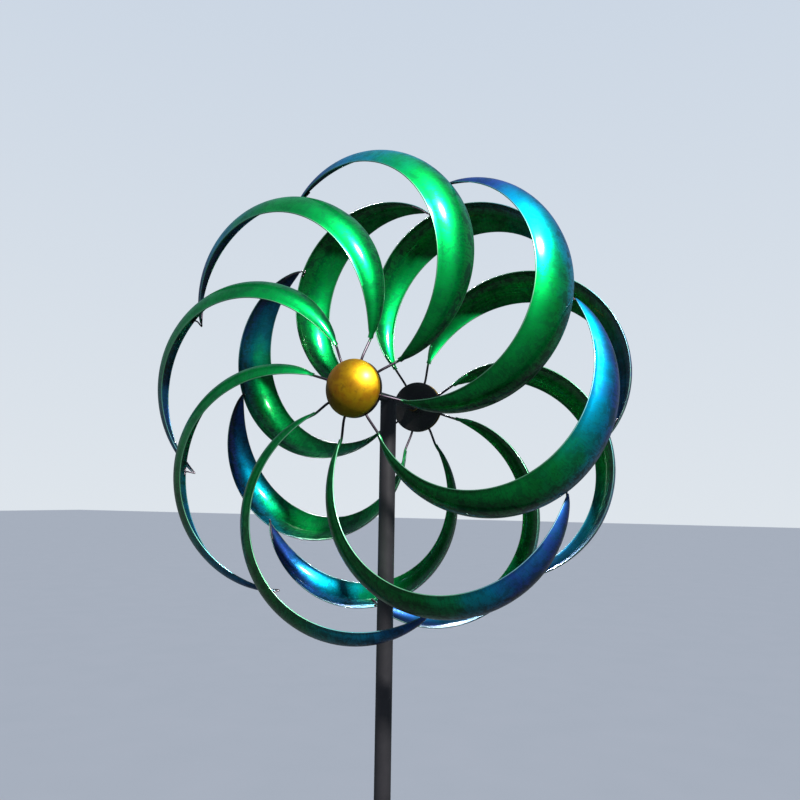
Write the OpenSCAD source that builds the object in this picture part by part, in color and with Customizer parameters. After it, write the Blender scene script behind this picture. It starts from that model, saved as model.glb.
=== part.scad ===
// Two-rotor garden wind spinner on a staked pole, in millimetres.
// The origin is on the pole's axis at ground level, +Z is up.
// The front rotor faces -Y. The rear rotor is the same part turned half round, and faces +Y.
// Each rotor is drawn in its own frame: z along its axle towards its dome, arms in the plane z = 0.

/* [Rotors] */
// Height of the axle above the ground
axle_height = 1600; // [1300:10:1800]
// Distance between the two planes that the arms lie in
rotor_spacing = 206; // [180:2:240]
// Angle of the front rotor's first arm, counter-clockwise from the right
front_phase = 73; // [0:1:360]
// Angle of the rear rotor's first arm, seen from behind
rear_phase = 15; // [0:1:360]
// How far the front rotor's arms swing off even spacing, in degrees, on the side where they swing most
front_swing = 2.5; // [0:0.5:3]
// Angle of that side from the front rotor's first arm
front_swing_at = -40; // [-180:5:180]
// The same for the rear rotor
rear_swing = 3.5; // [0:0.5:3.5]
// Angle of that side from the rear rotor's first arm
rear_swing_at = 130; // [-180:5:180]

/* [Blades] */
// Distance from the axle to the root of a blade
root_radius = 64; // [56:1:72]
// Radius of the arc that a blade follows
arc_radius = 139; // [125:1:145]
// Angle of the arc that a blade follows
arc_sweep = 196; // [180:1:200]
// Angle between an arm and the start of its blade's arc
arc_lead = 2; // [0:0.5:5]
// Width of a blade at its middle
blade_w = 59.5; // [45:0.5:62]
// Sheet thickness
sheet_t = 0.8; // [0.6:0.1:1.2]
// Angle between a blade's chord and the rotor's plane, at mid length
blade_tilt = 58; // [50:1:65]
// Change of that angle from root to tip
blade_twist = 12; // [0:1:15]
// Depth of a blade's dish as a share of its width
dish = 0.19; // [0.1:0.01:0.2]
// How far the middle of a blade stands forward of a straight line from root to tip
blade_rise = 20; // [10:1:24]
// How far a blade's tip lies behind the arms
tip_drop = 27; // [20:1:32]

/* [Hubs] */
// Outer diameter of the dome cap and the back disc
dome_d = 71; // [60:1:74]
// Height of the dome above its rim
dome_h = 19; // [15:1:24]
// Diameter of an arm's rod
arm_d = 3.2; // [2.5:0.1:4]
// Axle diameter
axle_d = 8; // [6:0.5:9]
// Outer diameter of the fixed tube that crosses the pole's top
cross_tube_d = 11; // [10.5:0.5:14]

/* [Pole] */
// Outer diameter of the pole
pole_d = 21; // [19:0.5:25]
// Wall of the pole
pole_wall = 1.2; // [1:0.1:1.5]
// Length of the reduced end that plugs into the next section
spigot_len = 48; // [40:2:60]

/* [Ground fork] */
// Length of the centre spike below the ground
spike_len = 260; // [200:10:300]
// Diameter of the centre spike
spike_d = 12; // [10:0.5:14]
// Distance between the two outer prongs
prong_gap = 150; // [120:5:180]
// Length of an outer prong below the ground
prong_len = 190; // [150:10:240]
// Diameter of an outer prong
prong_d = 8; // [6:0.5:9]

/* [Hidden] */
$fn = 64;

arm_count = 8;

steel = [0.16, 0.17, 0.19];
rod_grey = [0.24, 0.22, 0.27];
bright = [0.62, 0.62, 0.60];
bronze = [0.60, 0.45, 0.25];
gold = [0.80, 0.60, 0.12];
blade_green = [0.05, 0.62, 0.30];

// Gaps: between fixed parts that meet, along a weld, round a turning shaft, and round a pressed one
fit_gap = 0.1;
weld_gap = 0.35;
running_gap = 0.05;
press_gap = 0.02;
// How far a cutter runs past the faces that it cuts
cut = 1;

// ---- Hub stack, as distances along z from the plane of the arms
disc_t = 1.2;
disc_rim = 1.9;
rim_wall = 1;
rim_h = 4;
dome_wall = 1;
arm_clear = arm_d / 2 + fit_gap;
sleeve_back = -14;
sleeve_front = 10;
sleeve_r = 9;
bush_r = 6;
bush_len = 9;
flange_r = 8;
flange_t = 1.5;
washer_t = 1;
washer_gap = 0.4;
spacer_t = 2;
nut_t = 6.5;
nut_af = 13;
stack_front = sleeve_front + flange_t + washer_gap;
stack_back = sleeve_back - flange_t - washer_gap;
axle_tip = stack_front + washer_t + nut_t + 1.5;

// ---- Pole stack, as heights above the ground
bar_t = 6;
bar_w = 26;
collar_t = 6;
collar_d = 26;
stub_len = 60;
stub_d = pole_d - 2 * pole_wall - 2 * fit_gap;
pole_foot = bar_t + collar_t;
pole_top = axle_height - 1;
section_len = (pole_top - pole_foot) / 3;
screw_d = 5;
screw_head_d = 9;
screw_head_t = 4;
screw_drop = spigot_len / 2;
screw_reach = 4;
// How much narrower a spike is where it passes through the step bar
tenon_step = 1.2;

// ---- Blade surface. u runs from root (0) to tip (1), v across the width from the inner
// edge (0) to the outer edge (1). The width is a power of a half sine, blunt at both ends.
u_steps = 32;
v_steps = 6;
root_w = 6;
tip_w = 1.2;
width_power = 0.7;
// How far behind the plane of the arms a blade starts
root_drop = 8;
arc_start = -90 - arc_lead;
arc_centre = [root_radius - arc_radius * cos(arc_start), -arc_radius * sin(arc_start), 0];

function lerp(a, b, t) = a + (b - a) * t;
function unit(a) = a / norm(a);
function arc_angle(u) = arc_start + arc_sweep * u;
function mid_line(u) = arc_centre
    + [arc_radius * cos(arc_angle(u)), arc_radius * sin(arc_angle(u)), blade_rise * sin(180 * u) - tip_drop * u - root_drop];
function along(u) = unit(mid_line(u + 0.001) - mid_line(u - 0.001));
function outward(u) = [cos(arc_angle(u)), sin(arc_angle(u)), 0];
function forward(u) = unit(cross(outward(u), along(u)));
function tilt(u) = blade_tilt + blade_twist * (u - 0.5);
function across(u) = cos(tilt(u)) * outward(u) - sin(tilt(u)) * forward(u);
function bulge(u) = sin(tilt(u)) * outward(u) + cos(tilt(u)) * forward(u);
function width(u) = max(lerp(root_w, tip_w, u), blade_w * pow(sin(180 * min(max(u, 0), 1)), width_power));
function skin(u, v) = mid_line(u) + width(u) * ((v - 0.5) * across(u) + dish * 4 * v * (1 - v) * bulge(u));
function normal(u, v) = unit(bulge(u) - dish * 4 * (1 - 2 * v) * across(u));

// ---- A closed sheet between two offsets of the skin
module crescent() {
    columns = v_steps + 1;
    rows = u_steps + 1;
    layer = rows * columns;
    points = [for (face = [0.5, -0.5]) for (i = [0 : u_steps]) for (j = [0 : v_steps])
        skin(i / u_steps, j / v_steps) + face * sheet_t * normal(i / u_steps, j / v_steps)];
    rim = concat(
        [for (i = [0 : u_steps - 1]) i * columns],
        [for (j = [0 : v_steps - 1]) u_steps * columns + j],
        [for (i = [u_steps : -1 : 1]) i * columns + v_steps],
        [for (j = [v_steps : -1 : 1]) j]);
    cells = [for (i = [0 : u_steps - 1]) for (j = [0 : v_steps - 1]) i * columns + j];
    top = [for (a = cells) each [[a, a + columns, a + 1], [a + 1, a + columns, a + columns + 1]]];
    bottom = [for (a = cells) each [[layer + a, layer + a + 1, layer + a + columns],
        [layer + a + 1, layer + a + columns + 1, layer + a + columns]]];
    edge = [for (i = [0 : len(rim) - 1]) let (a = rim[i], b = rim[(i + 1) % len(rim)])
        each [[a, layer + a, b], [b, layer + a, layer + b]]];
    polyhedron(points, concat(top, bottom, edge), convexity = 8);
}

// ---- A round rod swept along a path. Each ring carries on from the last one without a twist.
function path_dir(path, i) = unit(path[min(i + 1, len(path) - 1)] - path[max(i - 1, 0)]);
function ring_side(path, i) = let (d = path_dir(path, i), last = i == 0 ? [0, 0, 1] : ring_side(path, i - 1))
    unit(last - (last * d) * d);
function ring_points(path, i, rod_d, sides) = let (b = ring_side(path, i), c = cross(path_dir(path, i), b))
    [for (s = [0 : sides - 1]) path[i] + rod_d / 2 * (cos(360 * s / sides) * b + sin(360 * s / sides) * c)];

module rod(path, rod_d, sides) {
    last = len(path) - 1;
    points = [for (i = [0 : last]) each ring_points(path, i, rod_d, sides)];
    wall = [for (i = [0 : last - 1]) for (s = [0 : sides - 1])
        let (a = i * sides + s, b = i * sides + (s + 1) % sides)
        each [[a, a + sides, b], [b, a + sides, b + sides]]];
    start = [[for (s = [0 : sides - 1]) s]];
    finish = [[for (s = [sides - 1 : -1 : 0]) last * sides + s]];
    polyhedron(points, concat(wall, start, finish), convexity = 4);
}

// ---- An arm: straight out of the hub past the disc, then along the back of the blade's outer edge
arm_steps = 4;
arm_reach = 0.05;
arm_straight = dome_d / 2 + 4;
function behind(u, v, rod_d, gap = weld_gap) = skin(u, v) - (sheet_t / 2 + rod_d / 2 + gap) * normal(u, v);
arm_path = concat([[sleeve_r + fit_gap, 0, 0], [arm_straight, 0, 0]],
    [for (i = [0 : arm_steps]) behind(arm_reach * i / arm_steps, 1, arm_d)]);

// ---- A tip link: a wire along the back of a blade's tip, then bent over to the outer edge of the
// next blade, whose frame is turned by the angle a. It ends behind that edge.
link_d = 2;
link_from = 0.95;
link_steps = 4;
link_lap = 0.05;
link_clear = 2.8;
link_gap = 0.6;
function turned(p, a) = [p.x * cos(a) - p.y * sin(a), p.x * sin(a) + p.y * cos(a), p.z];
function tip_distance(u, a) = norm(turned(skin(u, 1), a) - mid_line(1));
function nearest(a, low = 0.4, high = 0.65) = high - low < 0.002 ? (low + high) / 2
    : let (third = (high - low) / 3)
      tip_distance(low + third, a) < tip_distance(high - third, a) ? nearest(a, low, high - third)
      : nearest(a, low + third, high);
link_past = 4.6;
function edge_way(u) = unit(skin(u, 1) - skin(u, 0.98));
tip_way = unit(mid_line(1) - mid_line(0.99));
function link_path(a) = let (u = nearest(a)) concat(
    [for (i = [0 : link_steps]) behind(lerp(link_from, 1, i / link_steps), 1, link_d, link_gap)],
    [behind(1, 1, link_d, link_gap) + link_past * tip_way],
    [turned(behind(u, 1, link_d, link_gap) + link_clear * edge_way(u), a),
     turned(behind(u, 1 - link_lap, link_d, link_gap), a)]);

// ---- Placing: side is 1 for the front rotor and -1 for the rear rotor
module rotor_place(side) {
    translate([0, -side * rotor_spacing / 2, axle_height])
        rotate([0, 0, side > 0 ? 0 : 180])
            rotate([90, 0, 0])
                children();
}
// The angle of arm k. The arms close up on one side of the hub and open out on the other, in one
// smooth wave round it.
function arm_step(k) = 360 / arm_count * (k - 1);
function swing(side, k) = side > 0 ? front_swing * cos(arm_step(k) - front_swing_at)
    : rear_swing * cos(arm_step(k) - rear_swing_at);
function arm_angle(side, k) = (side > 0 ? front_phase : rear_phase) + arm_step(k) + swing(side, k);
module arm_place(side, k) {
    rotor_place(side)
        rotate(arm_angle(side, k))
            children();
}
module ring(outer_r, inner_r, height) {
    difference() {
        cylinder(r = outer_r, h = height);
        translate([0, 0, -cut])
            cylinder(r = inner_r, h = height + 2 * cut);
    }
}

// ---- Rotor sub-parts
module blade(side, k) {
    color(blade_green)
        arm_place(side, k)
            crescent();
}
module arm(side, k) {
    color(rod_grey)
        arm_place(side, k)
            rod(arm_path, arm_d, 10);
}
module tip_links(side) {
    color(rod_grey)
        for (k = [1 : arm_count])
            arm_place(side, k)
                rod(link_path(arm_angle(side, k + 1) - arm_angle(side, k)), link_d, 8);
}
module hub_sleeve(side) {
    color(steel)
        rotor_place(side)
            translate([0, 0, sleeve_back])
                ring(sleeve_r, bush_r + press_gap, sleeve_front - sleeve_back);
}
// A flanged bronze bush: seat says where its flange meets the sleeve, way which end it is
module bush(side, seat, way) {
    color(bronze)
        rotor_place(side)
            translate([0, 0, seat])
                mirror([0, 0, way > 0 ? 0 : 1])
                    difference() {
                        union() {
                            cylinder(r = flange_r, h = flange_t);
                            translate([0, 0, -bush_len])
                                cylinder(r = bush_r, h = bush_len + flange_t / 2);
                        }
                        translate([0, 0, -bush_len - cut])
                            cylinder(r = axle_d / 2 + running_gap, h = bush_len + flange_t + 2 * cut);
                    }
}
// A thin plate behind the arms with its edge turned towards them
module back_disc(side) {
    bottom = -arm_clear - disc_rim - disc_t;
    color(steel)
        rotor_place(side)
            translate([0, 0, bottom])
                difference() {
                    cylinder(d = dome_d, h = disc_t + disc_rim);
                    translate([0, 0, disc_t])
                        cylinder(r = dome_d / 2 - rim_wall, h = disc_rim + cut);
                    translate([0, 0, -cut])
                        cylinder(r = sleeve_r + fit_gap, h = disc_t + 2 * cut);
                }
}
// A spherical shell on a short straight rim
module dome_cap(side) {
    dome_r = ((dome_d / 2) ^ 2 + dome_h ^ 2) / (2 * dome_h);
    color(gold)
        rotor_place(side)
            translate([0, 0, arm_clear])
                difference() {
                    union() {
                        cylinder(d = dome_d, h = rim_h);
                        intersection() {
                            translate([0, 0, rim_h + dome_h - dome_r])
                                sphere(r = dome_r);
                            translate([0, 0, rim_h / 2])
                                cylinder(d = dome_d, h = rim_h / 2 + dome_h + cut);
                        }
                    }
                    translate([0, 0, -cut])
                        cylinder(r = dome_d / 2 - dome_wall, h = rim_h + cut);
                    intersection() {
                        translate([0, 0, rim_h + dome_h - dome_r])
                            sphere(r = dome_r - dome_wall);
                        translate([0, 0, rim_h / 2])
                            cylinder(r = dome_d / 2 - dome_wall, h = rim_h + dome_h + cut);
                    }
                }
}

// ---- Axle stack
module spacer(side) {
    color(bright)
        rotor_place(side)
            translate([0, 0, stack_back - spacer_t])
                ring(flange_r, axle_d / 2 + running_gap, spacer_t);
}
module end_washer(side) {
    color(bright)
        rotor_place(side)
            translate([0, 0, stack_front])
                ring(flange_r, axle_d / 2 + running_gap, washer_t);
}
module axle_nut(side) {
    color(bright)
        rotor_place(side)
            translate([0, 0, stack_front + washer_t])
                difference() {
                    cylinder(d = nut_af / cos(30), h = nut_t, $fn = 6);
                    translate([0, 0, -cut])
                        cylinder(r = axle_d / 2 + press_gap, h = nut_t + 2 * cut);
                }
}
module axle() {
    half = rotor_spacing / 2 + axle_tip;
    chamfer = 0.8;
    color(bright)
        translate([0, 0, axle_height])
            rotate([90, 0, 0])
                rotate_extrude()
                    polygon([[0, -half], [axle_d / 2 - chamfer, -half], [axle_d / 2, -half + chamfer],
                        [axle_d / 2, half - chamfer], [axle_d / 2 - chamfer, half], [0, half]]);
}
module cross_tube() {
    half = rotor_spacing / 2 + stack_back - spacer_t - running_gap;
    color(steel)
        translate([0, half, axle_height])
            rotate([90, 0, 0])
                ring(cross_tube_d / 2, axle_d / 2 + press_gap, 2 * half);
}

// ---- Pole sections, counted from 0 at the ground. Each plugs into the one above it.
module screw_hole(height) {
    translate([0, 0, height])
        rotate([-90, 0, 0])
            cylinder(d = screw_d + 2 * fit_gap, h = pole_d);
}
module pole_section(n) {
    foot = pole_foot + n * section_len;
    bore_r = pole_d / 2 - pole_wall;
    spigot_r = bore_r - fit_gap;
    neck = 4;
    difference() {
        union() {
            translate([0, 0, foot])
                cylinder(d = pole_d, h = section_len - fit_gap);
            if (n < 2)
                translate([0, 0, foot + section_len - neck])
                    cylinder(r = spigot_r, h = spigot_len + neck);
        }
        translate([0, 0, foot - cut])
            cylinder(r = bore_r, h = section_len + cut - (n < 2 ? neck : 0));
        if (n < 2)
            translate([0, 0, foot + section_len - neck - cut])
                cylinder(r = spigot_r - pole_wall, h = spigot_len + neck + 2 * cut);
        screw_hole(foot + screw_drop);
        if (n < 2)
            screw_hole(foot + section_len + screw_drop);
    }
}
module lower_pole() {
    color(steel)
        pole_section(0);
}
module middle_pole() {
    color(steel)
        pole_section(1);
}
// The top section is coped to take the cross tube
module upper_pole() {
    color(steel)
        difference() {
            pole_section(2);
            translate([0, pole_d, axle_height])
                rotate([90, 0, 0])
                    cylinder(r = cross_tube_d / 2 + fit_gap, h = 2 * pole_d);
        }
}
// One locking screw at the back of each section's foot, with a round head against the tube
module lock_screws() {
    color(bright)
        for (n = [0 : 2])
            translate([0, 0, pole_foot + n * section_len + screw_drop])
                rotate([-90, 0, 0]) {
                    translate([0, 0, pole_d / 2 + fit_gap])
                        cylinder(d = screw_head_d, h = screw_head_t);
                    translate([0, 0, pole_d / 2 - screw_reach])
                        cylinder(d = screw_d, h = screw_reach + screw_head_t / 2);
                }
}

// ---- Ground fork
// The centre spike: a tenon through the step bar, a collar under the pole and a stub inside it,
// grooved for the screw
module ground_spike() {
    point = 30;
    tip_r = 1;
    chamfer = 2;
    spike_r = spike_d / 2;
    tenon_r = spike_r - tenon_step;
    collar_r = collar_d / 2;
    stub_r = stub_d / 2;
    groove_r = stub_r - screw_reach;
    groove_low = pole_foot + screw_drop - screw_d / 2 - fit_gap;
    groove_high = groove_low + screw_d + 2 * fit_gap;
    stub_top = pole_foot + stub_len;
    color(steel)
        rotate_extrude()
            polygon([[0, -spike_len], [tip_r, -spike_len], [spike_r, point - spike_len], [spike_r, 0],
                [tenon_r, 0], [tenon_r, bar_t], [collar_r, bar_t], [collar_r, pole_foot - fit_gap],
                [stub_r, pole_foot - fit_gap],
                [stub_r, groove_low], [groove_r, groove_low], [groove_r, groove_high], [stub_r, groove_high],
                [stub_r, stub_top - chamfer], [stub_r - chamfer, stub_top], [0, stub_top]]);
}
module step_bar() {
    color(steel)
        difference() {
            translate([0, 0, fit_gap])
                linear_extrude(bar_t - 2 * fit_gap) {
                    square([prong_gap, bar_w], center = true);
                    for (x = [-1, 1])
                        translate([x * prong_gap / 2, 0])
                            circle(d = bar_w);
                }
            translate([0, 0, -cut])
                cylinder(r = spike_d / 2 - tenon_step + fit_gap, h = bar_t + 2 * cut);
            for (x = [-1, 1])
                translate([x * prong_gap / 2, 0, -cut])
                    cylinder(r = prong_d / 2 - tenon_step + fit_gap, h = bar_t + 2 * cut);
        }
}
// An outer prong, whose tenon is riveted over on top of the step bar
module prong(way) {
    point = 20;
    tip_r = 0.8;
    rivet_h = 1.5;
    prong_r = prong_d / 2;
    tenon_r = prong_r - tenon_step;
    color(steel)
        translate([way * prong_gap / 2, 0, 0])
            rotate_extrude()
                polygon([[0, -prong_len], [tip_r, -prong_len], [prong_r, point - prong_len], [prong_r, 0],
                    [tenon_r, 0], [tenon_r, bar_t], [prong_r, bar_t], [tenon_r, bar_t + rivet_h],
                    [0, bar_t + rivet_h]]);
}

ground_spike();
step_bar();
prong(-1);  // left_prong
prong(1);  // right_prong
lower_pole();
middle_pole();
upper_pole();
lock_screws();
cross_tube();
axle();
spacer(1);  // front_spacer
spacer(-1);  // rear_spacer
end_washer(1);  // front_end_washer
end_washer(-1);  // rear_end_washer
axle_nut(1);  // front_axle_nut
axle_nut(-1);  // rear_axle_nut
for (side = [1, -1]) {
    name = side > 0 ? "front" : "rear";
    hub_sleeve(side);
    bush(side, sleeve_back, -1);
    bush(side, sleeve_front, 1);
    back_disc(side);
    dome_cap(side);
    for (k = [1 : arm_count]) {
        arm(side, k);
        blade(side, k);
    }
    tip_links(side);
}
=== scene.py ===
import math

import bmesh
import bpy
import numpy as np
from mathutils import Matrix, Vector


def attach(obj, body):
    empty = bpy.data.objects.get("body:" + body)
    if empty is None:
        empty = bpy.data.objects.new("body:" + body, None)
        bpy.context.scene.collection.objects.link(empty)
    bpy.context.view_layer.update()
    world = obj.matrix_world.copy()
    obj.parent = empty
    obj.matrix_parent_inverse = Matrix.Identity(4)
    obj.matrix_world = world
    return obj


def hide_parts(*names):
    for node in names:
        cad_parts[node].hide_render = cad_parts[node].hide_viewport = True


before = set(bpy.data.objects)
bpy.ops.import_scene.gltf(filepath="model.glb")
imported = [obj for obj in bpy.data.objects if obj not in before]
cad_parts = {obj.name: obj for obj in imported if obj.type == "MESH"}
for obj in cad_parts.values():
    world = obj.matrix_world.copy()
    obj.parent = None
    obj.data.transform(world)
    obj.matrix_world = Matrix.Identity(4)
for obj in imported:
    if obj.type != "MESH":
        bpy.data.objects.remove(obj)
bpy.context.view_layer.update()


# ---- Sizes in millimetres, the same as the CAD part's
HUB_HEIGHT, ROTOR_SPACING = 1600, 206
ARM_COUNT = 8
ARM_STEP = 360 / ARM_COUNT
PHASE = {"front": 73, "rear": 15}
# Degrees: the most that an arm is off even spacing, and where round the rotor that is
SWING = {"front": (2.5, -40), "rear": (3.5, 130)}
ROOT_RADIUS, ARC_RADIUS, ARC_SWEEP, ARC_LEAD = 64, 139, 196, 2
BLADE_W, SHEET_T, TILT, TWIST, DISH, RISE, DROP = 59.5, 0.8, 58, 12, 0.19, 20, 27
ROOT_W, TIP_W, WIDTH_POWER, ROOT_DROP = 6, 1.2, 0.7, 8
DOME_D, DOME_H, DOME_WALL, RIM_H = 71, 19, 1, 4
ARM_D, LINK_D, WELD_GAP, LINK_GAP, FIT_GAP = 3.2, 2, 0.35, 0.6, 0.1
LAP, LINK_OVERHANG, LINK_HOOK = 0.05, 4.6, 2.8  # LAP is a share of the blade's length
ARM_CLEAR = ARM_D / 2 + FIT_GAP
DISC_T, DISC_RIM, RIM_WALL = 1.2, 1.9, 1
SLEEVE_BACK, SLEEVE_FRONT, SLEEVE_R, BUSH_R = -14, 10, 9, 6
FLANGE_T, FLANGE_R, WASHER_GAP, SPACER_T = 1.5, 8, 0.4, 2
AXLE_R, TUBE_R = 4, 5.5
POLE_R, POLE_WALL, POLE_FOOT, POLE_TOP = 10.5, 1.2, 12, 1599
SPIKE_LEN, SPIKE_R, PRONG_GAP, PRONG_LEN, PRONG_R = 260, 6, 150, 190, 4
BAR_T, BAR_W, COLLAR_R = 6, 26, 13

# Where each blade turns from green to blue, as a share of its length from root to tip
BLUE_FROM = {"front": [0.63, 0.71, 0.69, 0.67, 0.61, 0.58, 0.60, 0.62],
             "rear": [1.05, 0.78, 0.66, 0.64, 0.60, 0.60, 0.62, 0.66]}
# Blades that turn blue faster than the others, and how far they go towards navy
BLUE_HOW = {"front_5": (1.8, 0.28), "front_6": (1.3, 0.19)}
UNSHADED_HOLLOWS = ("rear_6", "rear_7")  # blades whose hollow side gets no painted shade


# ---- Blade surface: u from root (0) to tip (1), v from the inner edge (0) to the outer (1)
def unit(a):
    return a / np.linalg.norm(a, axis=-1, keepdims=True)


def arc(u):
    return np.radians(-90 - ARC_LEAD + ARC_SWEEP * np.asarray(u, float))


def mid_line(u):
    u = np.asarray(u, float)
    start, a = arc(0), arc(u)
    return np.stack([ROOT_RADIUS - ARC_RADIUS * np.cos(start) + ARC_RADIUS * np.cos(a),
                     -ARC_RADIUS * np.sin(start) + ARC_RADIUS * np.sin(a),
                     RISE * np.sin(np.pi * u) - DROP * u - ROOT_DROP], -1)


def blade_frame(u):
    """The directions across the blade and out of its convex side, and the blade's width."""
    u = np.asarray(u, float)
    along = unit(mid_line(u + 0.001) - mid_line(u - 0.001))
    outward = np.stack([np.cos(arc(u)), np.sin(arc(u)), 0 * u], -1)
    forward = unit(np.cross(outward, along))
    t = np.radians(TILT + TWIST * (u - 0.5))[..., None]
    across = np.cos(t) * outward - np.sin(t) * forward
    bulge = np.sin(t) * outward + np.cos(t) * forward
    curve = np.maximum(np.sin(np.pi * np.clip(u, 0, 1)), 0) ** WIDTH_POWER
    width = np.maximum(ROOT_W + (TIP_W - ROOT_W) * u, BLADE_W * curve)
    return across, bulge, width


def skin(u, v):
    """Points of the middle of the sheet, and the directions out of its convex side."""
    u, v = np.broadcast_arrays(np.asarray(u, float), np.asarray(v, float))
    across, bulge, width = blade_frame(u)
    v = v[..., None]
    point = mid_line(u) + width[..., None] * ((v - 0.5) * across + DISH * 4 * v * (1 - v) * bulge)
    return point, unit(bulge - DISH * 4 * (1 - 2 * v) * across)


def behind(u, v, rod_d, gap=WELD_GAP):
    """The middle of a rod that lies against the hollow side of a blade."""
    point, normal = skin(u, v)
    return point - (SHEET_T / 2 + rod_d / 2 + gap) * normal


def arm_angle(side, k):
    """Where arm k (1 to 8) leaves the hub, in degrees in its rotor's own frame."""
    most, at = SWING[side]
    swing = most * math.cos(math.radians(ARM_STEP * (k - 1) - at))
    return PHASE[side] + ARM_STEP * (k - 1) + swing


def turned(p, degrees):
    c, s = math.cos(math.radians(degrees)), math.sin(math.radians(degrees))
    p = np.asarray(p, float)
    return np.stack([c * p[..., 0] - s * p[..., 1], s * p[..., 0] + c * p[..., 1], p[..., 2]], -1)


def on_rotor(side, p):
    """From a rotor's own frame, z out towards its dome, to the row frame, in mm."""
    way = 1 if side == "front" else -1
    p = np.asarray(p, float)
    depth = -way * (ROTOR_SPACING / 2 + p[..., 2])
    return np.stack([way * p[..., 0], depth, HUB_HEIGHT + p[..., 1]], -1)


# ---- Meshes, each as (points, faces)
def merged(*parts):
    points, faces, start = [], [], 0
    for p, f in parts:
        points.append(np.asarray(p, float))
        faces += [[i + start for i in face] for face in f]
        start += len(p)
    return np.concatenate(points), faces


def rings_to_faces(rings, sides, wrap=False, cap_start=False, cap_end=False):
    faces = []
    for i in range(rings if wrap else rings - 1):
        for s in range(sides):
            a, b = i * sides + s, i * sides + (s + 1) % sides
            c, d = (i + 1) % rings * sides + (s + 1) % sides, (i + 1) % rings * sides + s
            faces.append([a, b, c, d])
    if cap_start:
        faces.append(list(range(sides))[::-1])
    if cap_end:
        faces.append([(rings - 1) * sides + s for s in range(sides)])
    return faces


def lathe(profile, sides=96, closed=True):
    """Turns (radius, z) points about z. An open profile starts and ends near the axis."""
    angle = np.arange(sides) * 2 * np.pi / sides
    points = np.array([[r * math.cos(a), r * math.sin(a), z] for r, z in profile for a in angle])
    faces = rings_to_faces(len(profile), sides, wrap=closed, cap_start=not closed,
                           cap_end=not closed)
    return points, faces


def rounded(corners, closed=True, steps=5):
    """A profile with its corners rounded. Each corner is (radius, z, rounding)."""
    out, n = [], len(corners)
    for i, (r, z, size) in enumerate(corners):
        here = np.array([r, z], float)
        if size == 0 or (not closed and i in (0, n - 1)):
            out.append(here)
            continue
        before = np.array(corners[i - 1][:2], float) - here
        after = np.array(corners[(i + 1) % n][:2], float) - here
        a = here + before * min(size / np.linalg.norm(before), 0.49)
        b = here + after * min(size / np.linalg.norm(after), 0.49)
        for t in np.linspace(0, 1, steps + 1):
            out.append((1 - t) ** 2 * a + 2 * t * (1 - t) * here + t * t * b)
    return [tuple(p) for p in out]


def resampled(path, step):
    """The same path with its points evenly spaced, about a step apart."""
    path = np.asarray(path, float)
    lengths = np.linalg.norm(np.diff(path, axis=0), axis=1)
    at = np.concatenate([[0], np.cumsum(lengths)])
    count = max(3, int(round(at[-1] / step)) + 1)
    want = np.linspace(0, at[-1], count)
    return np.stack([np.interp(want, at, path[:, i]) for i in range(3)], 1)


def smoothed(path, rounds):
    """The path with its corners softened. Its two ends stay where they are."""
    path = path.copy()
    for _ in range(rounds):
        path[1:-1] += 0.5 * ((path[:-2] + path[2:]) / 2 - path[1:-1])
    return path


def round_end(point, way, radius, disc, degrees):
    """One ring of the low dome that closes a bar's end."""
    t = math.radians(degrees)
    return point + way * radius * 0.7 * math.sin(t) + disc * radius * math.cos(t)


def tube(path, radius, sides=16):
    """A round bar along a path with rounded ends. radius is a number or one for each point."""
    path = np.asarray(path, float)
    radius = np.broadcast_to(np.asarray(radius, float), (len(path),))
    ahead = unit(np.gradient(path, axis=0))
    side = np.array([0.0, 0.0, 1.0]) if abs(ahead[0][2]) < 0.9 else np.array([1.0, 0.0, 0.0])
    rings = []
    for i, point in enumerate(path):
        side = side - (side @ ahead[i]) * ahead[i]
        side = side / np.linalg.norm(side)
        other = np.cross(ahead[i], side)
        angle = np.arange(sides) * 2 * np.pi / sides
        disc = np.cos(angle)[:, None] * side + np.sin(angle)[:, None] * other
        if i == 0:
            rings += [round_end(point, -ahead[i], radius[i], disc, t) for t in (75, 45, 20)]
        rings.append(point + disc * radius[i])
        if i == len(path) - 1:
            rings += [round_end(point, ahead[i], radius[i], disc, t) for t in (20, 45, 75)]
    return np.concatenate(rings), rings_to_faces(len(rings), sides, cap_start=True, cap_end=True)


def bead(path, radius, ripple=2.2, depth=0.16, sides=12):
    """A weld bead: a bar whose thickness swells and shrinks along it."""
    path = resampled(path, ripple / 6)
    run = np.arange(len(path)) / 6
    swell = 1 + depth * np.cos(2 * np.pi * run) + 0.06 * np.cos(2 * np.pi * run * 0.37)
    return tube(path, radius * swell, sides)


def weld_ring(ring_r, z, radius, ripples, sides=10):
    """A weld bead all round something that stands on z."""
    count = ripples * 6
    angle = np.arange(count) * 2 * np.pi / count
    size = radius * (1 + 0.15 * np.cos(ripples * angle) + 0.05 * np.cos(3 * angle))
    turn = np.arange(sides) * 2 * np.pi / sides
    points = []
    for a, s in zip(angle, size):
        for t in turn:
            r = ring_r + s * math.cos(t)
            points.append([r * math.cos(a), r * math.sin(a), z + s * math.sin(t)])
    return np.array(points), rings_to_faces(count, sides, wrap=True)


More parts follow.
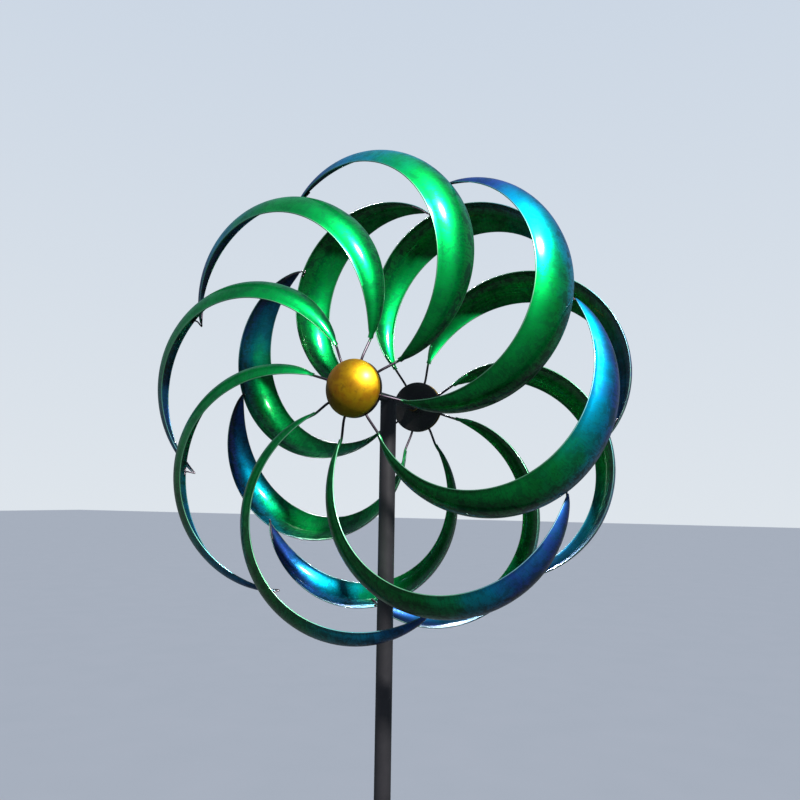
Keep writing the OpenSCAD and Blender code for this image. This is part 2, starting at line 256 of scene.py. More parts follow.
def make(name, shape, material, body, slot, *nodes, floats=None, uv=None, sharp=35):
    """Adds a mesh object in metres from a shape in mm, on a body and in place of CAD nodes."""
    points, faces = shape
    mesh = bpy.data.meshes.new(name)
    mesh.from_pydata((np.asarray(points) / 1000).tolist(), [], faces)
    for key, values in (floats or {}).items():
        field = mesh.attributes.new(key, "FLOAT", "POINT")
        field.data.foreach_set("value", np.asarray(values, np.float32))
    if uv is not None:
        layer = mesh.uv_layers.new(name="UVMap")
        loops = np.zeros(len(mesh.loops), np.int32)
        mesh.loops.foreach_get("vertex_index", loops)
        layer.data.foreach_set("uv", np.asarray(uv, np.float32)[loops].ravel())
    work = bmesh.new()
    work.from_mesh(mesh)
    bmesh.ops.recalc_face_normals(work, faces=work.faces)
    work.to_mesh(mesh)
    work.free()
    mesh.polygons.foreach_set("use_smooth", [True] * len(mesh.polygons))
    mesh.set_sharp_from_angle(angle=math.radians(sharp))
    mesh.materials.append(material)
    obj = bpy.data.objects.new(name, mesh)
    bpy.context.scene.collection.objects.link(obj)
    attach(obj, body)
    if nodes:
        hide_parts(*nodes)


# ---- Materials
class Shader:
    """A material with one Principled shader and short ways to add nodes to it."""

    def __init__(self, name):
        self.material = bpy.data.materials.new(name)
        self.material.use_nodes = True
        tree = self.material.node_tree
        self.nodes, self.links = tree.nodes, tree.links
        self.main = self.nodes["Principled BSDF"]

    def set(self, **values):
        for key, value in values.items():
            self.main.inputs[key.replace("_", " ")].default_value = value

    def link(self, out, into):
        self.links.new(out, self.main.inputs[into])

    def coords(self, kind="Object"):
        return self.nodes.new("ShaderNodeTexCoord").outputs[kind]

    def stretched(self, vector, scale):
        node = self.nodes.new("ShaderNodeMapping")
        node.inputs["Scale"].default_value = scale
        self.links.new(vector, node.inputs["Vector"])
        return node.outputs["Vector"]

    def noise(self, vector, scale, detail=3, roughness=0.5, distortion=0):
        node = self.nodes.new("ShaderNodeTexNoise")
        for key, value in (("Scale", scale), ("Detail", detail), ("Roughness", roughness),
                           ("Distortion", distortion)):
            node.inputs[key].default_value = value
        self.links.new(vector, node.inputs["Vector"])
        return node.outputs["Fac"]

    def field(self, name):
        node = self.nodes.new("ShaderNodeAttribute")
        node.attribute_name = name
        return node.outputs["Fac"]

    def remap(self, value, low, high, to_low=0.0, to_high=1.0, smooth=False):
        node = self.nodes.new("ShaderNodeMapRange")
        node.interpolation_type = "SMOOTHSTEP" if smooth else "LINEAR"
        for key, number in (("From Min", low), ("From Max", high), ("To Min", to_low),
                            ("To Max", to_high)):
            node.inputs[key].default_value = number
        self.links.new(value, node.inputs["Value"])
        return node.outputs["Result"]

    def math(self, operation, a, b):
        node = self.nodes.new("ShaderNodeMath")
        node.operation = operation
        for socket, value in zip(node.inputs, (a, b)):
            if isinstance(value, (int, float)):
                socket.default_value = value
            else:
                self.links.new(value, socket)
        return node.outputs[0]

    def ramp(self, value, stops):
        node = self.nodes.new("ShaderNodeValToRGB")
        elements = node.color_ramp.elements
        while len(elements) > 1:
            elements.remove(elements[-1])
        for i, (at, colour) in enumerate(stops):
            element = elements[0] if i == 0 else elements.new(at)
            element.position = at
            element.color = (*colour, 1)
        self.links.new(value, node.inputs["Fac"])
        return node.outputs["Color"]

    def mix(self, factor, a, b, blend="MIX"):
        node = self.nodes.new("ShaderNodeMix")
        node.data_type, node.blend_type = "RGBA", blend
        sockets = [s for s in node.inputs if s.type == "RGBA"]
        for socket, value in zip([node.inputs[0], *sockets], (factor, a, b)):
            if isinstance(value, (int, float)):
                socket.default_value = value
            elif isinstance(value, tuple):
                socket.default_value = (*value, 1)
            else:
                self.links.new(value, socket)
        return [s for s in node.outputs if s.type == "RGBA"][0]

    def bump(self, height, strength, distance):
        node = self.nodes.new("ShaderNodeBump")
        node.inputs["Strength"].default_value = strength
        node.inputs["Distance"].default_value = distance
        self.links.new(height, node.inputs["Height"])
        self.link(node.outputs["Normal"], "Normal")


def blade_paint():
    """Clear green and blue lacquer over bright metal, with a dark hand-rubbed patina, painted shade on
    the hollow side and pale rolled edges that are partly worn and partly a painted highlight.
    """
    s = Shader("blade_lacquer")
    s.set(Metallic=0.94, Specular_IOR_Level=0.0, Coat_Weight=0.6, Coat_Roughness=0.12,
          Coat_IOR=1.36)
    here = s.coords()
    wobble = s.remap(s.noise(here, 38, 4, 0.6), 0.3, 0.7, -0.035, 0.035)
    along = s.math("ADD", s.field("along"), wobble)
    along = s.math("ADD", along, s.remap(s.field("across"), 0.3, 1.0, -0.04, 0.17, smooth=True))
    colour = s.ramp(s.remap(along, -0.7, 0.5), [
        (0.00, (0.000, 0.160, 0.028)), (0.48, (0.000, 0.190, 0.034)),
        (0.56, (0.000, 0.200, 0.090)), (0.605, (0.000, 0.195, 0.225)),
        (0.70, (0.000, 0.150, 0.300)), (0.79, (0.012, 0.052, 0.245)),
        (0.89, (0.018, 0.027, 0.145)), (1.00, (0.014, 0.014, 0.060))])
    # Painted shade: the hollow side is mixed towards dark navy, from about where the blade turns blue
    # out to the tip.
    hollow = s.field("hollow")
    inside = s.math("MULTIPLY", hollow, s.remap(along, -0.12, 0.08, 0.0, 0.6, smooth=True))
    colour = s.mix(inside, colour, (0.004, 0.018, 0.045))
    blotch = s.remap(s.noise(here, 75, 9, 0.72, 0.3), 0.505, 0.56, 0.0, 1.0, smooth=True)
    specks = s.remap(s.noise(here, 260, 4, 0.6), 0.55, 0.61, 0.0, 0.85, smooth=True)
    outer = s.remap(s.field("across"), 0.25, 0.85, 0.62, 1.0, smooth=True)
    strokes = s.noise(s.stretched(s.coords("UV"), (520, 55, 1)), 1, 5, 0.7)
    dashes = s.remap(strokes, 0.50, 0.59, 0.0, 1.0, smooth=True)
    marks = s.math("MAXIMUM", s.math("MAXIMUM", blotch, specks), s.math("MULTIPLY", dashes, 0.8))
    patina = s.math("MULTIPLY", marks, outer)
    colour = s.mix(s.math("MULTIPLY", patina, 0.86), colour, (0.001, 0.018, 0.012))
    cloud = s.remap(s.noise(here, 24, 3, 0.55), 0.3, 0.7, 0.75, 1.25)
    shade = s.nodes.new("ShaderNodeCombineColor")
    for socket in shade.inputs:
        s.links.new(cloud, socket)
    colour = s.mix(1.0, colour, shade.outputs[0], "MULTIPLY")
    # The rolled edges turn pale grey-green: partly worn paint, partly a painted highlight along the
    # edge.
    rim = s.remap(s.field("rim"), 0.35, 0.9, 0.0, 0.5, smooth=True)
    s.link(s.mix(rim, colour, (0.12, 0.24, 0.19)), "Base Color")
    s.link(s.remap(patina, 0, 1, 0.40, 0.55), "Roughness")
    s.bump(s.noise(here, 120, 3, 0.5), 0.08, 0.0006)
    return s.material


def gold_paint():
    """Antique gold with grime, with painted shade that makes it redder to the left and a painted
    ground reflection that makes it paler below.
    """
    s = Shader("antique_gold")
    s.set(Metallic=0.92, Specular_IOR_Level=0.1, Coat_Weight=0.12, Coat_Roughness=0.3)
    here = s.coords()
    cloud = s.noise(here, 42, 4, 0.5)
    colour = s.ramp(cloud, [(0.34, (0.17, 0.080, 0.003)), (0.46, (0.25, 0.135, 0.003)),
                            (0.55, (0.31, 0.18, 0.004)), (0.66, (0.29, 0.125, 0.004))])
    grime = s.remap(s.noise(here, 210, 6, 0.7), 0.52, 0.64, 0.0, 0.45, smooth=True)
    colour = s.mix(grime, colour, (0.09, 0.055, 0.006))
    place = s.nodes.new("ShaderNodeSeparateXYZ")
    s.links.new(here, place.inputs[0])
    # Painted shade: the left side is mixed towards a darker, redder gold.
    shade_to_left = s.remap(place.outputs["X"], 0.004, -0.034, 0.0, 0.65, smooth=True)
    colour = s.mix(shade_to_left, colour, (0.24, 0.095, 0.010))
    # Painted reflection of the ground: the lower part is mixed towards a paler, olive gold.
    hub_z = HUB_HEIGHT / 1000
    below = s.remap(place.outputs["Z"], hub_z - 0.002, hub_z - 0.034, 0.0, 0.6, smooth=True)
    colour = s.mix(below, colour, (0.27, 0.19, 0.006))
    # Darker along the lower edge of the rim and all over the inside of the cap.
    rim_and_inside_dark = s.remap(s.field("rim"), 0.5, 1.0, 0.0, 0.7, smooth=True)
    s.link(s.mix(rim_and_inside_dark, colour, (0.08, 0.05, 0.008)), "Base Color")
    s.link(s.remap(cloud, 0.3, 0.7, 0.50, 0.44), "Roughness")
    s.bump(s.noise(here, 420, 3, 0.5), 0.10, 0.0005)
    return s.material


def dark_paint(name, colour, light, roughness, grain, shine=0.5, scratch=0.0):
    """Dark paint with a fine grain, clouded towards a lighter tone, and scratched if asked."""
    s = Shader(name)
    s.set(Specular_IOR_Level=shine)
    here = s.coords()
    cloud = s.noise(here, 26, 4, 0.6)
    base = s.mix(s.remap(cloud, 0.35, 0.7), colour, light)
    if scratch:
        lines = s.noise(s.stretched(here, (900, 900, 40)), 1, 2, 0.5)
        other = s.noise(s.stretched(here, (60, 900, 700)), 1, 2, 0.5)
        both = s.remap(s.math("MAXIMUM", lines, other), 0.66, 0.76, 0.0, scratch, smooth=True)
        base = s.mix(both, base, (0.12, 0.12, 0.125))
    s.link(base, "Base Color")
    rough = s.remap(s.noise(here, 90, 3, 0.5), 0.3, 0.7, roughness - 0.06, roughness + 0.08)
    s.link(rough, "Roughness")
    s.bump(s.noise(here, grain, 2, 0.5), 0.25, 0.0004)
    return s.material


def rod_paint():
    """Dark metal rod, with green overspray where it meets a blade."""
    s = Shader("dark_rod")
    s.set(Metallic=0.9, Coat_Weight=0.3, Coat_Roughness=0.2)
    here = s.coords()
    base = s.ramp(s.noise(here, 70, 4, 0.6), [
        (0.32, (0.012, 0.009, 0.014)), (0.52, (0.028, 0.021, 0.031)),
        (0.72, (0.055, 0.044, 0.056))])
    over = s.math("MULTIPLY", s.field("sprayed"), 0.9)
    s.link(s.mix(over, base, (0.000, 0.14, 0.032)), "Base Color")
    s.link(s.remap(s.noise(here, 200, 3, 0.5), 0.3, 0.7, 0.40, 0.52), "Roughness")
    s.bump(s.noise(here, 300, 3, 0.5), 0.04, 0.0002)
    return s.material


def bare_metal(name, colour, dull, roughness, rings=700):
    """Metal without paint, with fine turning rings."""
    s = Shader(name)
    s.set(Metallic=1.0)
    here = s.coords()
    base = s.mix(s.remap(s.noise(here, 80, 4, 0.6), 0.4, 0.7), colour, dull)
    s.link(base, "Base Color")
    rough = s.remap(s.noise(here, 260, 3, 0.5), 0.3, 0.7, roughness - 0.05, roughness + 0.1)
    s.link(rough, "Roughness")
    s.bump(s.noise(s.stretched(here, (1, rings, 1)), 1, 2, 0.5), 0.08, 0.0002)
    return s.material


LACQUER = blade_paint()
GOLD = gold_paint()
ROD = rod_paint()
POLE = dark_paint("charcoal_powder_coat", (0.024, 0.0235, 0.027), (0.034, 0.032, 0.037), 0.50,
                  1400, shine=0.3)
HUB = dark_paint("black_satin", (0.015, 0.015, 0.016), (0.027, 0.026, 0.027), 0.46, 900,
                 shine=0.3, scratch=0.2)
STAKE = dark_paint("stake_black", (0.030, 0.030, 0.032), (0.055, 0.040, 0.031), 0.50, 800,
                   scratch=0.4)
STEEL = bare_metal("turned_steel", (0.46, 0.46, 0.47), (0.30, 0.30, 0.31), 0.28)
ZINC = bare_metal("zinc_plate", (0.60, 0.60, 0.56), (0.42, 0.43, 0.42), 0.34)
# The bronze is given a near-black colour as painted shade, since it sits in shade round the hub.
BRONZE = bare_metal("shade_darkened_bronze", (0.13, 0.085, 0.040), (0.06, 0.040, 0.022), 0.42)


# ---- Rotors
def blade(side, k, lengths=144, widths=14):
    """One crescent of dished sheet with a narrow rolled edge on both sides, as a closed skin."""
    # Partly even and partly cosine steps, so that they are closer at the two narrow ends
    cosine = (1 - np.cos(np.linspace(0, np.pi, lengths))) / 2
    u = cosine * 0.45 + np.linspace(0, 1, lengths) * 0.55
    half = SHEET_T / 2
    v_in = np.linspace(0.012, 0.988, widths)
    across, _, width = blade_frame(u)
    roll = np.minimum(0.72, 0.30 + width * 0.05)
    columns, v_of, rim_of, hollow_of = [], [], [], []
    # How much painted shade this blade's hollow side gets
    hollow_shade = 0 if f"{side}_{k}" in UNSHADED_HOLLOWS else 1

    def sheet(values, way):
        for v in values:
            point, normal = skin(u, v)
            columns.append(point + way * half * normal)
            v_of.append(v)
            rim_of.append(0.0)
            hollow_of.append(hollow_shade if way < 0 else 0.0)

    def edge(v, way, angles):
        point, normal = skin(u, v)
        out = unit(np.cross(np.cross(normal, across * way), normal))
        for a in angles:
            a = math.radians(a)
            columns.append(point + roll[:, None] * (math.cos(a) * out + math.sin(a) * normal))
            v_of.append(v)
            rim_of.append(1.0)
            hollow_of.append(0.0)

    sheet(v_in, 1)
    edge(1, 1, (115, 80, 45, 10, -25, -60, -95, -120))
    sheet(v_in[::-1], -1)
    edge(0, -1, (-115, -80, -45, -10, 25, 60, 95, 120))
    loop = len(columns)
    points = np.stack(columns, 1).reshape(-1, 3)
    faces = rings_to_faces(lengths, loop)
    first = (lengths - 1) * loop
    # Close the two ends with strips of four-sided faces
    for j in range(loop // 2 - 1):
        a, b = j, j + 1
        c, d = loop - 2 - j, loop - 1 - j
        faces.append([a, b, c, d])
        faces.append([first + d, first + c, first + b, first + a])
    steps = np.linalg.norm(np.diff(mid_line(u), axis=0), axis=1)
    run = np.concatenate([[0], np.cumsum(steps)]) / 1000
    v_all = np.tile(np.array(v_of), lengths)
    uv = np.stack([np.repeat(run, loop), (v_all - 0.5) * np.repeat(width, loop) / 1000], 1)
    past = u - BLUE_FROM[side][k - 1]
    rate, most = BLUE_HOW.get(f"{side}_{k}", (1, 1))
    past = np.where(past > 0, np.minimum(past * rate, most), past)
    floats = {"along": np.repeat(past, loop), "across": v_all,
              "rim": np.tile(np.array(rim_of), lengths),
              "hollow": np.tile(np.array(hollow_of, float), lengths)}
    points = on_rotor(side, turned(points, arm_angle(side, k)))
    make(f"{side}_crescent_{k}", (points, faces), LACQUER, f"{side}_rotor", "blade_metal",
         f"{side}_blade_{k}", floats=floats, uv=uv, sharp=60)


def arm(side, k):
    """One bent rod with its weld at the hub and the bead that holds the blade."""
    lap = [behind(LAP * i / 4, 1, ARM_D) for i in range(5)]
    path = np.array([[SLEEVE_R + FIT_GAP, 0, 0], [DOME_D / 2 + 4, 0, 0], *lap])
    path = smoothed(resampled(path, 1.5), 10)
    flare = 1.1 * np.exp(-((path[:, 0] - SLEEVE_R) / 1.6) ** 2)
    rod = tube(path, ARM_D / 2 + flare, 20)
    seam = []
    for t in np.linspace(0.003, 0.047, 8):
        point, normal = skin(t, 0.93)
        seam.append(point - (SHEET_T / 2 + WELD_GAP) * normal)
    weld = bead(seam, 0.95)
    points, faces = merged(rod, weld)
    sprayed = np.clip((points[:, 0] - ROOT_RADIUS + 5) / 7, 0, 1)
    points = on_rotor(side, turned(points, arm_angle(side, k)))
    make(f"{side}_rod_{k}", (points, faces), ROD, f"{side}_rotor", "arm_rod", f"{side}_arm_{k}",
         floats={"sprayed": sprayed})


def nearest(a):
    """Where along the outer edge of the next blade, a degrees on, a blade's tip comes closest."""
    u = np.linspace(0.4, 0.65, 501)
    away = np.linalg.norm(turned(skin(u, 1)[0], a) - mid_line(1), axis=1)
    return float(u[away.argmin()])


def tip_wires(side):
    """The short bent wires that tie each blade's tip to the next blade's outer edge."""
    parts = []
    tip_way = unit(mid_line(1) - mid_line(0.99))
    for k in range(1, ARM_COUNT + 1):
        a = arm_angle(side, k + 1) - arm_angle(side, k)
        u = nearest(a)
        edge_way = unit(skin(u, 1)[0] - skin(u, 0.98)[0])
        lap = [behind(1 - LAP + LAP * i / 4, 1, LINK_D, LINK_GAP) for i in range(5)]
        hook = [turned(behind(u, 1, LINK_D, LINK_GAP) + LINK_HOOK * edge_way, a),
                turned(behind(u, 0.95, LINK_D, LINK_GAP), a)]
        path = smoothed(resampled([*lap, lap[-1] + LINK_OVERHANG * tip_way, *hook], 0.6), 3)
        blob = turned(behind(u, 0.965, 1.2), a)
        slope = turned(skin(u + 0.012, 0.965)[0] - skin(u - 0.012, 0.965)[0], a)
        wire = tube(path, LINK_D / 2, 14)
        weld = bead([blob - slope * 0.35, blob, blob + slope * 0.35], 1.15, 1.6)
        parts += [(turned(p, arm_angle(side, k)), f) for p, f in (wire, weld)]
    points, faces = merged(*parts)
    make(f"{side}_tip_wires", (on_rotor(side, points), faces), ROD, f"{side}_rotor", "arm_rod",
         f"{side}_tip_links")


def dome(side):
    """The gold cap: a shallow dome on a short straight rim, hollow behind."""
    radius = ((DOME_D / 2) ** 2 + DOME_H ** 2) / (2 * DOME_H)
    low, seat = ARM_CLEAR, ARM_CLEAR + RIM_H
    centre, edge = seat + DOME_H - radius, math.asin(DOME_D / 2 / radius)
    rim_r = DOME_D / 2

    def on_ball(r, a):
        return r * math.sin(a), centre + r * math.cos(a)

    def cap(r, start, stop, count):
        return [on_ball(r, a) for a in np.linspace(start, stop, count)]

    turn_over = rounded([(rim_r, low + 0.6, 0), (rim_r, seat, 2.6), (*on_ball(radius, edge * 0.9), 0)],
                        closed=False, steps=8)
    inner_r = radius - DOME_WALL
    inner_edge = math.asin((rim_r - DOME_WALL) / inner_r)
    lip = [(rim_r - 0.5 + 0.5 * math.cos(a), low + 0.5 + 0.5 * math.sin(a))
           for a in np.linspace(0, -np.pi, 7)]
    inside = cap(inner_r, 0.004, inner_edge * 0.96, 24)
    profile = inside + lip[::-1] + turn_over + cap(radius, edge * 0.88, 0.004, 44)
    points, faces = lathe(profile, 128, closed=False)
    heights = np.array([z for _, z in profile])
    rim = np.clip(1 - (heights - low) / 2.6, 0, 1)
    rim[:len(inside)] = 1
    make(f"{side}_dome", (on_rotor(side, points), faces), GOLD, f"{side}_rotor", "gold_dome",
         f"{side}_dome_cap", floats={"rim": np.repeat(rim, 128)})


def disc(side):
    """The hub's back disc, with a rim and a shallow groove pressed round it."""
    low, high, r = -ARM_CLEAR - DISC_RIM - DISC_T, -ARM_CLEAR, DOME_D / 2
    inner = SLEEVE_R + FIT_GAP
    groove = ((15, 0), (17, 0.35), (29, 0.35), (31, 0))
    profile = rounded([(inner, low, 0.3), *((x, low + deep, 2) for x, deep in groove),
                       (r, low, 1.6), (r, high, 0.45),
                       (r - RIM_WALL, high, 0.45), (r - RIM_WALL, low + DISC_T, 1.0),
                       *((x, low + DISC_T + deep, 2) for x, deep in groove[::-1]),
                       (inner, low + DISC_T, 0.3)])
    plate = lathe(profile, 128)
    weld = weld_ring(inner + 0.3, low - 0.1, 1.0, 22)
    points, faces = merged(plate, weld)
    make(f"{side}_disc", (on_rotor(side, points), faces), HUB, f"{side}_rotor", "hub_paint",
         f"{side}_back_disc")


def sleeve(side):
    profile = rounded([(BUSH_R + 0.05, SLEEVE_BACK, 0.4), (SLEEVE_R, SLEEVE_BACK, 0.9),
                       (SLEEVE_R, SLEEVE_FRONT, 0.9), (BUSH_R + 0.05, SLEEVE_FRONT, 0.4)])
    points, faces = lathe(profile, 64)
    make(f"{side}_sleeve", (on_rotor(side, points), faces), HUB, f"{side}_rotor", "hub_paint",
         f"{side}_hub_sleeve")


def spacer(side):
    """The ring between the cross tube and a rotor. It stays still, so it rides on the stand."""
    back = SLEEVE_BACK - FLANGE_T - WASHER_GAP
    profile = rounded([(AXLE_R + 0.05, back - SPACER_T, 0.2), (FLANGE_R, back - SPACER_T, 0.5),
                       (FLANGE_R, back, 0.5), (AXLE_R + 0.05, back, 0.2)])
    points, faces = lathe(profile, 64)
    make(f"{side}_thrust_spacer", (on_rotor(side, points), faces), BRONZE, "stand", "bronze_bush",
         f"{side}_spacer")


for side in ("front", "rear"):
    for k in range(1, ARM_COUNT + 1):
        blade(side, k)
        arm(side, k)
    tip_wires(side)
    dome(side)
    disc(side)
    sleeve(side)
    spacer(side)


# ---- Pole and cross tube
def lying(points, y=0):
    """From a shape about z to one that lies along the row frame's Y at the hub's height."""
    points = np.asarray(points, float)
    return np.stack([points[:, 0], points[:, 2] + y, HUB_HEIGHT - points[:, 1]], -1)


half_tube = ROTOR_SPACING / 2 + SLEEVE_BACK - FLANGE_T - WASHER_GAP - SPACER_T - 0.05
tube_profile = rounded([(AXLE_R + 0.02, -half_tube, 0.3), (TUBE_R, -half_tube, 0.7),
                        (TUBE_R, half_tube, 0.7), (AXLE_R + 0.02, half_tube, 0.3)])
cross_points, cross_faces = lathe(tube_profile, 64)
saddle = []
for x in (-1, 1):
    saddle.append(bead([[x * (TUBE_R + 0.1), y, HUB_HEIGHT - 0.6] for y in (-8.6, 0, 8.6)],
                       1.3, 2.4))
    angles = np.radians(np.linspace(-160, -20, 15))
    around = TUBE_R + 0.4
    saddle.append(bead([[around * math.cos(a), x * 9.9, HUB_HEIGHT + around * math.sin(a)]
                        for a in angles], 1.0, 2.2))
make("axle_tube", merged((lying(cross_points), cross_faces), *saddle), POLE, "stand", "pole_paint",
     "cross_tube")

section = (POLE_TOP - POLE_FOOT) / 3
bore, spigot = POLE_R - POLE_WALL, POLE_R - POLE_WALL - FIT_GAP
for n, name in enumerate(("lower", "middle", "upper")):
    foot = POLE_FOOT + n * section
    top = foot + section - FIT_GAP
    if n < 2:
        plug = foot + section + 48
        corners = [(bore, foot, 0.3), (POLE_R, foot, 0.6), (POLE_R, top, 0.6), (spigot, top, 0.1),
                   (spigot, plug, 0.8), (spigot - POLE_WALL, plug, 0.4),
                   (spigot - POLE_WALL, top - 4, 0.2), (bore, top - 4, 0.2)]
        shape = lathe(rounded(corners), 96)
    else:
        corners = [(0.05, top - 4, 0), (bore, top - 4, 0.3), (bore, foot, 0.3), (POLE_R, foot, 0.6),
                   (POLE_R, top, 1.1), (0.05, top + 0.15, 0)]
        shape = lathe(rounded(corners, closed=False), 96, closed=False)
    make(f"{name}_pole_tube", shape, POLE, "stand", "pole_paint", f"{name}_pole")

screws = []
for n in range(3):
    angle = np.arange(48) * 2 * np.pi / 48
    hexed = 1 / np.cos((np.degrees(angle) + 30) % 60 * np.pi / 180 - np.pi / 6)
    # Each is (radius, z, whether the ring is a hexagon, as in the screw's socket)
    profile = [(2.4, -4, 0), (2.5, -3.5, 0), (2.5, 0, 0), (4.0, 0, 0), (4.45, 0.3, 0),
               (4.5, 0.9, 0), (4.3, 2.0, 0), (3.7, 3.1, 0), (2.9, 3.75, 0), (2.3, 3.95, 0),
               (1.75, 3.9, 1), (1.6, 3.7, 1), (1.6, 1.9, 1), (0.05, 1.9, 0)]
    rings = [[[r * (h if socket else 1) * math.cos(a), r * (h if socket else 1) * math.sin(a), z]
              for a, h in zip(angle, hexed)] for r, z, socket in profile]
    points = np.concatenate([np.array(r) for r in rings])
    height = POLE_FOOT + n * section + 24
    points = np.stack([points[:, 0], points[:, 2] + POLE_R + 0.1, height - points[:, 1]], -1)
    screws.append((points, rings_to_faces(len(profile), 48, cap_start=True, cap_end=True)))
make("pole_screws", merged(*screws), ZINC, "stand", "zinc_fasteners", "lock_screws", sharp=30)


# ---- Ground fork
stub_r = POLE_R - POLE_WALL - FIT_GAP
spike = lathe(rounded([(0.3, -SPIKE_LEN, 0), (1, -SPIKE_LEN + 0.6, 0.5),
                       (SPIKE_R, 30 - SPIKE_LEN, 8), (SPIKE_R, 0, 0.4),
                       (SPIKE_R - 1.2, 0, 0.2), (SPIKE_R - 1.2, BAR_T, 0.2), (COLLAR_R, BAR_T, 1.2),
                       (COLLAR_R, POLE_FOOT - 0.1, 1.2), (stub_r, POLE_FOOT - 0.1, 0.2),
                       (stub_r, 72, 2), (0.1, 72, 0)], closed=False), 96, closed=False)
collar_weld = weld_ring(COLLAR_R - 0.2, BAR_T + 0.2, 1.5, 26)
spike_weld = weld_ring(SPIKE_R + 0.2, -0.3, 1.3, 14)
make("centre_spike", merged(spike, collar_weld, spike_weld), STAKE, "stand", "pole_paint",
     "ground_spike")
for x, name in ((-1, "left"), (1, "right")):
    prong = lathe(rounded([(0.3, -PRONG_LEN, 0), (0.8, -PRONG_LEN + 0.5, 0.4),
                           (PRONG_R, 20 - PRONG_LEN, 6), (PRONG_R, 0, 0.4), (PRONG_R - 1.2, 0, 0.2),
                           (PRONG_R - 1.2, BAR_T, 0.2), (PRONG_R, BAR_T, 0.5),
                           (PRONG_R - 1.2, BAR_T + 1.5, 1.0), (0.1, BAR_T + 1.6, 0)],
                          closed=False), 64, closed=False)
    points, faces = merged(prong, weld_ring(PRONG_R + 0.1, -0.2, 1.1, 10))
    points = points + np.array([x * PRONG_GAP / 2, 0, 0])
    make(f"{name}_tine", (points, faces), STAKE, "stand", "pole_paint", f"{name}_prong")


def stadium(inset, steps=24):
    """The step bar's outline, a straight bar with round ends, drawn in by inset."""
    r = BAR_W / 2 - inset
    right = [(PRONG_GAP / 2 + r * math.cos(a), r * math.sin(a))
             for a in np.linspace(-np.pi / 2, np.pi / 2, steps)]
    return right + [(-x, -y) for x, y in right]


bar_edge = ((1.3, 0.1), (0.75, 0.2), (0.3, 0.5), (0.08, 0.9), (0, 1.4))
bar_edge += tuple((inset, BAR_T - z) for inset, z in bar_edge[::-1])
bar_points = np.array([(x, y, z) for inset, z in bar_edge for x, y in stadium(inset)])
bar_faces = rings_to_faces(len(bar_edge), len(stadium(0)), cap_start=True, cap_end=True)
make("foot_bar", (bar_points, bar_faces), STAKE, "stand", "pole_paint", "step_bar")

# ---- Finishes of the CAD nodes that stay
for name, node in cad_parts.items():
    if node.hide_render:
        continue
    finish = BRONZE if name.endswith("bush") else STEEL if name == "axle" else ZINC
    node.data.materials.clear()
    node.data.materials.append(finish)

# ---- Floor, light and camera
FLOOR_Z, FLOOR_HALF = -0.262, 60
corners = [(-1, -1), (1, -1), (1, 1), (-1, 1)]
floor_mesh = bpy.data.meshes.new("floor")
floor_mesh.from_pydata([(x * FLOOR_HALF, y * FLOOR_HALF, FLOOR_Z) for x, y in corners], [],
                       [(0, 1, 2, 3)])
floor = bpy.data.objects.new("floor", floor_mesh)
bpy.context.scene.collection.objects.link(floor)
ground = Shader("floor")
ground.set(Roughness=0.9, Specular_IOR_Level=0.2)
spots = ground.noise(ground.coords(), 2.5, 3, 0.5)
ground.link(ground.mix(spots, (0.62, 0.63, 0.64), (0.66, 0.66, 0.67)), "Base Color")
floor_mesh.materials.append(ground.material)
floor.visible_glossy = False  # keeps the pale floor out of the paint's reflections

world = bpy.data.worlds.new("studio")
bpy.context.scene.world = world
world.use_nodes = True
tree = world.node_tree
background = tree.nodes["Background"]
background.inputs["Strength"].default_value = 1.0
where = tree.nodes.new("ShaderNodeTexCoord")
split = tree.nodes.new("ShaderNodeSeparateXYZ")
tree.links.new(where.outputs["Generated"], split.inputs[0])
height = tree.nodes.new("ShaderNodeMapRange")
height.inputs["From Min"].default_value = -0.1
height.inputs["From Max"].default_value = 0.9
tree.links.new(split.outputs["Z"], height.inputs["Value"])


def sky(horizon, zenith):
    """A colour that runs from the horizon up to the zenith."""
    node = tree.nodes.new("ShaderNodeValToRGB")
    for element, at, colour in zip(node.color_ramp.elements, (0.05, 1.0), (horizon, zenith)):
        element.position, element.color = at, (*colour, 1)
    tree.links.new(height.outputs["Result"], node.inputs["Fac"])
    return node.outputs["Color"]


# The backdrop is paler than the light that it throws on the object
path = tree.nodes.new("ShaderNodeLightPath")
pick = tree.nodes.new("ShaderNodeMix")
pick.data_type = "RGBA"
colours = [socket for socket in pick.inputs if socket.type == "RGBA"]
tree.links.new(path.outputs["Is Camera Ray"], pick.inputs[0])
tree.links.new(sky((0.14, 0.165, 0.175), (0.17, 0.25, 0.40)), colours[0])
tree.links.new(sky((0.74, 0.79, 0.84), (0.52, 0.61, 0.74)), colours[1])
picked = [socket for socket in pick.outputs if socket.type == "RGBA"][0]
tree.links.new(picked, background.inputs["Color"])


def lamp(name, kind, place, power, size, colour=(1, 1, 1)):
    """A lamp aimed at the middle of the axle. size is in metres, or radians for a sun."""
    data = bpy.data.lights.new(name, kind)
    if kind == "AREA":
        data.shape, data.size = "DISK", size
    else:
        data.angle = size
    data.energy, data.color = power, colour
    obj = bpy.data.objects.new(name, data)
    bpy.context.scene.collection.objects.link(obj)
    obj.location = place
    obj.rotation_euler = (hub - Vector(place)).to_track_quat("-Z", "Y").to_euler()
    return obj


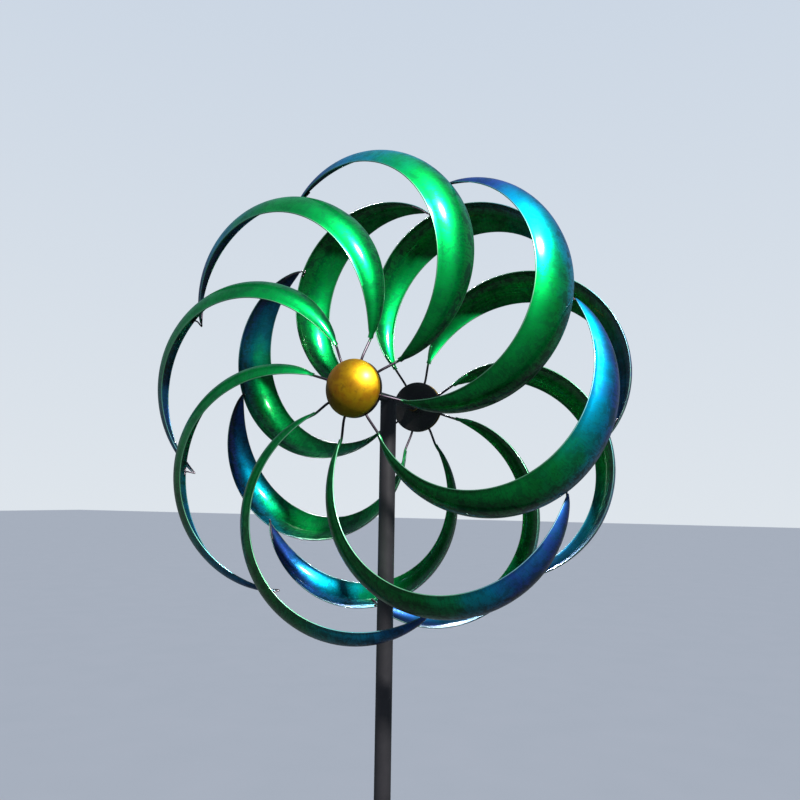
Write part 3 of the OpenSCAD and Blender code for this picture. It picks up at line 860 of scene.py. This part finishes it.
def limit(light, objects, state):
    """Keeps a lamp off some objects (EXCLUDE), or on them alone (INCLUDE)."""
    group = bpy.data.collections.new(light.name + "_limit")
    for obj in objects:
        group.objects.link(obj)
    for entry in group.collection_objects:
        entry.light_linking.link_state = state
    light.light_linking.receiver_collection = group


def painted(*paints):
    return [obj for obj in bpy.data.objects
            if obj.type == "MESH" and obj.data.materials and obj.data.materials[0] in paints]


hub = Vector((0, 0, HUB_HEIGHT / 1000))
LAMP_REACH, WARM, COOL = 3.3, (1.0, 0.97, 0.92), (0.95, 0.97, 1.0)
key_place = hub + LAMP_REACH * Vector((0.55, -0.52, 0.66))
back_place = hub + LAMP_REACH * Vector((-0.42, 0.72, 0.55))
dark = painted(POLE, HUB, STAKE)
rear = [obj for obj in painted(LACQUER, GOLD, ROD) if obj.name.startswith("rear_")]
limit(lamp("key", "AREA", key_place, 800, 0.28, WARM), [floor, *dark], "EXCLUDE")
limit(lamp("key_for_dark_paint", "AREA", key_place, 200, 0.28, WARM), dark, "INCLUDE")
limit(lamp("back_light", "AREA", back_place, 380, 0.6, COOL), rear, "INCLUDE")
limit(lamp("overhead", "SUN", hub + Vector((-0.6, -0.5, 3.0)), 1.45, 0.5), [floor], "INCLUDE")

CAMERA_PLACE = (0.418, -0.946, 1.472)
yaw, pitch, roll = math.radians(-23.0), math.radians(6.97), math.radians(0.81)
ahead = Vector((math.sin(yaw) * math.cos(pitch), math.cos(yaw) * math.cos(pitch), math.sin(pitch)))
level = Vector((math.cos(yaw), -math.sin(yaw), 0))
upright = level.cross(ahead)
right = level * math.cos(roll) + upright * math.sin(roll)
top = upright * math.cos(roll) - level * math.sin(roll)
lens = bpy.data.cameras.new("camera")
lens.sensor_width, lens.lens = 36, 35.6
lens.clip_start, lens.clip_end = 0.01, 300
camera = bpy.data.objects.new("camera", lens)
bpy.context.scene.collection.objects.link(camera)
turn = Matrix((right, top, -ahead)).transposed().to_4x4()
camera.matrix_world = Matrix.Translation(CAMERA_PLACE) @ turn
bpy.context.scene.camera = camera
bpy.context.scene.view_settings.view_transform = "Standard"
